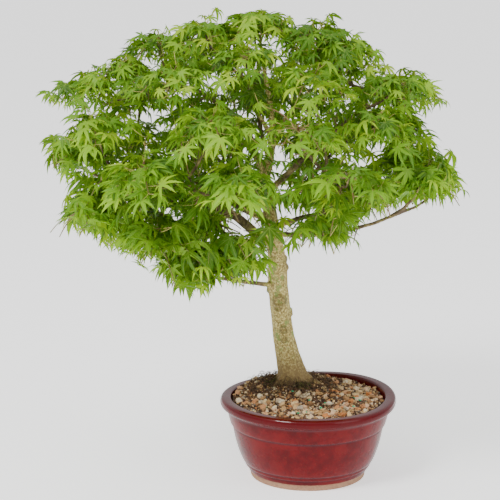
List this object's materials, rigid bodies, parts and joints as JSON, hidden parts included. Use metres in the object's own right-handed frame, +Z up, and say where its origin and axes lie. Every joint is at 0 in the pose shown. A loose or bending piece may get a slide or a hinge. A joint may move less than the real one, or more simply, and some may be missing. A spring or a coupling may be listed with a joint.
{
  "type": "potted maple bonsai",
  "caption": "Small palmate-leaved maple tree with a spreading crown, growing from gritted soil in a round glazed pot with a rolled lip.",
  "frame": {"origin": "middle of the whole plant's footprint, on the table under the pot's foot", "axes": "+Z up, +X to the viewer's right, +Y away from the viewer; the side seen in front is the one that faces -Y"},
  "size_m": [0.4676, 0.4148, 0.5163],
  "materials": {
    "glaze": "dark red gloss glaze, bare clay on the foot ring",
    "plastic": "black mesh",
    "clip_wire": "bare wire",
    "potting_mix": "loose fibrous mix",
    "grit": "mixed tan, brown and grey chips",
    "stone": "worn pale stone",
    "moss": "low cushion",
    "bark": "mottled grey-green bark",
    "leaf": "soft satin leaf"
  },
  "bodies": {
    "root": {"drain_screen_left": "plastic", "drain_screen_right": "plastic", "grit_layer": "grit", "leaves_apex_1": "leaf", "leaves_back_high_1": "leaf", "leaves_back_high_2": "leaf", "leaves_back_high_3": "leaf", "leaves_back_left_1": "leaf", "leaves_back_left_2": "leaf", "leaves_back_left_3": "leaf", "leaves_back_right_1": "leaf", "leaves_back_right_2": "leaf", "leaves_back_right_3": "leaf", "leaves_crown_front_1": "leaf", "leaves_crown_front_2": "leaf", "leaves_crown_right_1": "leaf", "leaves_crown_right_2": "leaf", "leaves_crown_right_3": "leaf", "leaves_first_left_1": "leaf", "leaves_first_left_2": "leaf", "leaves_first_left_3": "leaf", "leaves_first_left_4": "leaf", "leaves_first_left_5": "leaf", "leaves_first_right_1": "leaf", "leaves_first_right_2": "leaf", "leaves_first_right_3": "leaf", "leaves_front_left_1": "leaf", "leaves_front_left_2": "leaf", "leaves_front_left_3": "leaf", "leaves_front_right_1": "leaf", "leaves_front_right_2": "leaf", "leaves_front_right_3": "leaf", "leaves_inner_right_1": "leaf", "leaves_inner_right_2": "leaf", "leaves_inner_right_3": "leaf", "leaves_low_left_1": "leaf", "leaves_second_left_1": "leaf", "leaves_second_left_2": "leaf", "leaves_second_left_3": "leaf", "leaves_second_right_1": "leaf", "leaves_second_right_2": "leaf", "leaves_upper_left_1": "leaf", "leaves_upper_left_2": "leaf", "leaves_upper_left_3": "leaf", "leaves_upper_left_4": "leaf", "moss_front": "moss", "moss_left": "moss", "pot": "glaze", "potting_mix": "potting_mix", "screen_clip_left": "clip_wire", "screen_clip_right": "clip_wire", "stone_1": "stone", "stone_2": "stone", "stone_3": "stone", "stone_4": "stone", "stone_5": "stone", "stone_6": "stone", "trunk_and_branches": "bark"}
  },
  "joints": []
}
